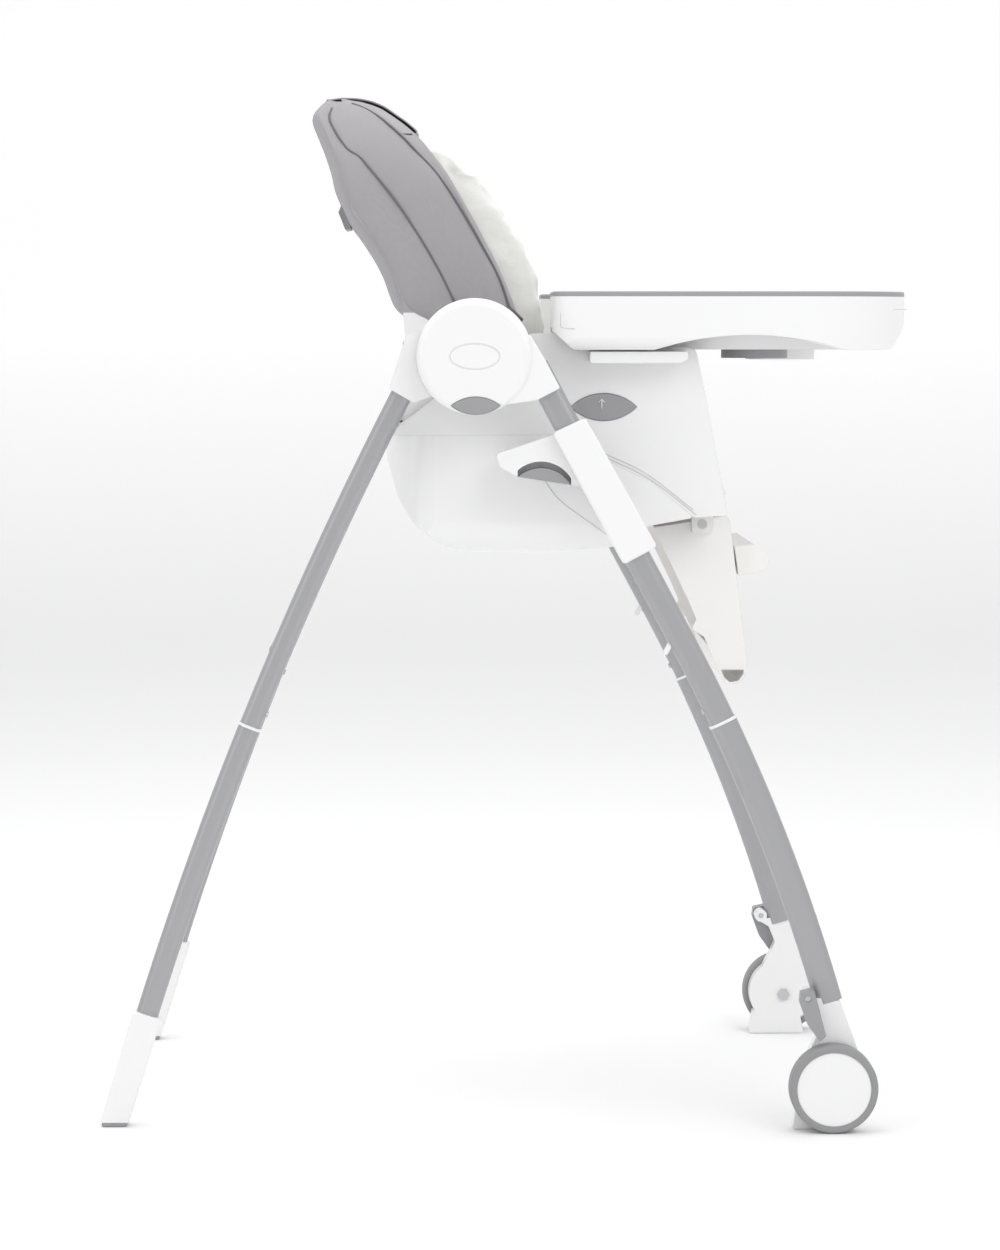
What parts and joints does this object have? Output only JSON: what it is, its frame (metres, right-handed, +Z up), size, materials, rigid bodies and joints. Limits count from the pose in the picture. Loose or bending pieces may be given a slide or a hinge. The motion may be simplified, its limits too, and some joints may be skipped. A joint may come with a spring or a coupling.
{
  "type": "high chair",
  "caption": "Folding baby high chair with curved oval legs, front wheels, padded reclining seat, leg rest with footrest and a sliding tray with lift-out insert.",
  "frame": {"origin": "on the floor below the middle of the open chair", "axes": "+Z up, -Y towards the front of the chair, +X to the seated child's left"},
  "size_m": [0.594, 0.814, 1.0306],
  "materials": {
    "frame_steel": "satin",
    "white_plastic": "semi-gloss",
    "warm_plastic": "satin",
    "grey_plastic": "satin",
    "tyre_rubber": "matte",
    "grey_fabric": "fine weave",
    "cream_fabric": "coated cotton",
    "webbing": "woven tape",
    "pin_steel": "satin"
  },
  "bodies": {
    "front_frame": {"front_leg_upper_l": "frame_steel", "front_leg_upper_r": "frame_steel", "front_leg_lower_l": "frame_steel", "front_leg_lower_r": "frame_steel", "leg_trims": "white_plastic", "hub_front_l": "white_plastic", "hub_front_r": "white_plastic", "wheel_fork_l": "white_plastic", "wheel_fork_r": "white_plastic", "frame_pins": "pin_steel"},
    "rear_frame": {"rear_leg_upper_l": "frame_steel", "rear_leg_upper_r": "frame_steel", "rear_leg_lower_l": "frame_steel", "rear_leg_lower_r": "frame_steel", "rear_collars": "white_plastic", "rear_cross_tube": "frame_steel", "hub_rear_l": "white_plastic", "hub_rear_r": "white_plastic", "rear_foot_l": "white_plastic", "rear_foot_r": "white_plastic", "rear_foot_pads": "grey_plastic"},
    "seat": {"carriage_l": "white_plastic", "carriage_r": "white_plastic", "seat_base": "white_plastic", "seat_arm_l": "white_plastic", "seat_arm_r": "white_plastic", "seat_inner": "warm_plastic", "seat_pins": "pin_steel", "tray_rails": "white_plastic", "seat_pad": "cream_fabric", "lap_straps": "webbing", "buckle": "grey_plastic"},
    "backrest": {"backrest_shell": "white_plastic", "back_cover": "grey_fabric", "back_pad": "cream_fabric", "shoulder_straps": "webbing"},
    "recline_handle": {"recline_handle": "grey_plastic"},
    "leg_rest": {"leg_rest": "warm_plastic"},
    "footrest": {"footrest": "warm_plastic"},
    "tray": {"tray_body": "white_plastic"},
    "tray_insert": {"tray_insert": "grey_plastic"},
    "tray_lever": {"tray_lever": "grey_plastic"},
    "buckle_button": {"buckle_button": "grey_plastic"},
    "fold_button_l": {"fold_button_l": "grey_plastic"},
    "side_button_l": {"side_button_l": "grey_plastic"},
    "height_lever_l": {"height_lever_l": "grey_plastic"},
    "front_snap_l": {"front_snap_button_l": "pin_steel"},
    "rear_snap_l": {"rear_snap_button_l": "pin_steel"},
    "wheel_l": {"wheel_tyre_l": "tyre_rubber", "wheel_rim_l": "white_plastic"},
    "brake_l": {"brake_pedal_l": "grey_plastic"},
    "fold_button_r": {"fold_button_r": "grey_plastic"},
    "side_button_r": {"side_button_r": "grey_plastic"},
    "height_lever_r": {"height_lever_r": "grey_plastic"},
    "front_snap_r": {"front_snap_button_r": "pin_steel"},
    "rear_snap_r": {"rear_snap_button_r": "pin_steel"},
    "wheel_r": {"wheel_tyre_r": "tyre_rubber", "wheel_rim_r": "white_plastic"},
    "brake_r": {"brake_pedal_r": "grey_plastic"}
  },
  "joints": [
    {"name": "frame_fold", "type": "hinge", "parent": "front_frame", "child": "rear_frame", "pos_m": [0, 0.033, 0.769], "axis": [-1, 0, 0], "range_deg": [0, 46]},
    {"name": "seat_height", "type": "slide", "parent": "front_frame", "child": "seat", "axis": [0, 0.473, 0.8811], "range_m": [-0.08, 0.03]},
    {"name": "backrest_recline", "type": "hinge", "parent": "seat", "child": "backrest", "pos_m": [0, 0.05, 0.7], "axis": [-1, 0, 0], "range_deg": [0, 34]},
    {"name": "recline_handle_pull", "type": "hinge", "parent": "backrest", "child": "recline_handle", "pos_m": [0, 0.157, 0.927], "axis": [1, 0, 0], "range_deg": [0, 14], "stiffness_Nm_per_rad": 0.4},
    {"name": "leg_rest_raise", "type": "hinge", "parent": "seat", "child": "leg_rest", "pos_m": [0, -0.2, 0.598], "axis": [-1, 0, 0], "range_deg": [0, 60]},
    {"name": "footrest_height", "type": "slide", "parent": "leg_rest", "child": "footrest", "axis": [0, -0.1249, -0.9922], "range_m": [0, 0.05]},
    {"name": "tray_slide", "type": "slide", "parent": "seat", "child": "tray", "axis": [0, -1, 0], "range_m": [0, 0.06]},
    {"name": "tray_insert_lift", "type": "slide", "parent": "tray", "child": "tray_insert", "axis": [0, 0, 1], "range_m": [0, 0.05]},
    {"name": "tray_lever_pull", "type": "slide", "parent": "tray", "child": "tray_lever", "axis": [0, -1, 0], "range_m": [0, 0.004], "stiffness_N_per_m": 400},
    {"name": "buckle_press", "type": "slide", "parent": "seat", "child": "buckle_button", "axis": [0, 1, 0], "range_m": [0, 0.003], "stiffness_N_per_m": 400},
    {"name": "fold_button_l_press", "type": "slide", "parent": "front_frame", "child": "fold_button_l", "axis": [-1, 0, 0], "range_m": [0, 0.004], "stiffness_N_per_m": 500},
    {"name": "side_button_l_press", "type": "slide", "parent": "seat", "child": "side_button_l", "axis": [-1, 0, 0], "range_m": [0, 0.004], "stiffness_N_per_m": 500},
    {"name": "height_lever_l_lift", "type": "slide", "parent": "seat", "child": "height_lever_l", "axis": [0, 0, 1], "range_m": [0, 0.004], "stiffness_N_per_m": 500},
    {"name": "front_snap_l_press", "type": "slide", "parent": "front_frame", "child": "front_snap_l", "axis": [0, -0.8987, 0.4386], "range_m": [0, 0.002], "stiffness_N_per_m": 400},
    {"name": "rear_snap_l_press", "type": "slide", "parent": "rear_frame", "child": "rear_snap_l", "axis": [0, 0.9253, 0.3793], "range_m": [0, 0.002], "stiffness_N_per_m": 400},
    {"name": "wheel_l_spin", "type": "hinge", "parent": "front_frame", "child": "wheel_l", "pos_m": [0, -0.323, 0.044], "axis": [-1, 0, 0], "continuous": true},
    {"name": "brake_l_press", "type": "hinge", "parent": "front_frame", "child": "brake_l", "pos_m": [0, -0.297, 0.134], "axis": [-1, 0, 0], "range_deg": [0, 8]},
    {"name": "fold_button_r_press", "type": "slide", "parent": "front_frame", "child": "fold_button_r", "axis": [1, 0, 0], "range_m": [0, 0.004], "stiffness_N_per_m": 500},
    {"name": "side_button_r_press", "type": "slide", "parent": "seat", "child": "side_button_r", "axis": [1, 0, 0], "range_m": [0, 0.004], "stiffness_N_per_m": 500},
    {"name": "height_lever_r_lift", "type": "slide", "parent": "seat", "child": "height_lever_r", "axis": [0, 0, 1], "range_m": [0, 0.004], "stiffness_N_per_m": 500},
    {"name": "front_snap_r_press", "type": "slide", "parent": "front_frame", "child": "front_snap_r", "axis": [0, -0.8987, 0.4386], "range_m": [0, 0.002], "stiffness_N_per_m": 400},
    {"name": "rear_snap_r_press", "type": "slide", "parent": "rear_frame", "child": "rear_snap_r", "axis": [0, 0.9253, 0.3793], "range_m": [0, 0.002], "stiffness_N_per_m": 400},
    {"name": "wheel_r_spin", "type": "hinge", "parent": "front_frame", "child": "wheel_r", "pos_m": [0, -0.323, 0.044], "axis": [-1, 0, 0], "continuous": true},
    {"name": "brake_r_press", "type": "hinge", "parent": "front_frame", "child": "brake_r", "pos_m": [0, -0.297, 0.134], "axis": [-1, 0, 0], "range_deg": [0, 8]}
  ]
}
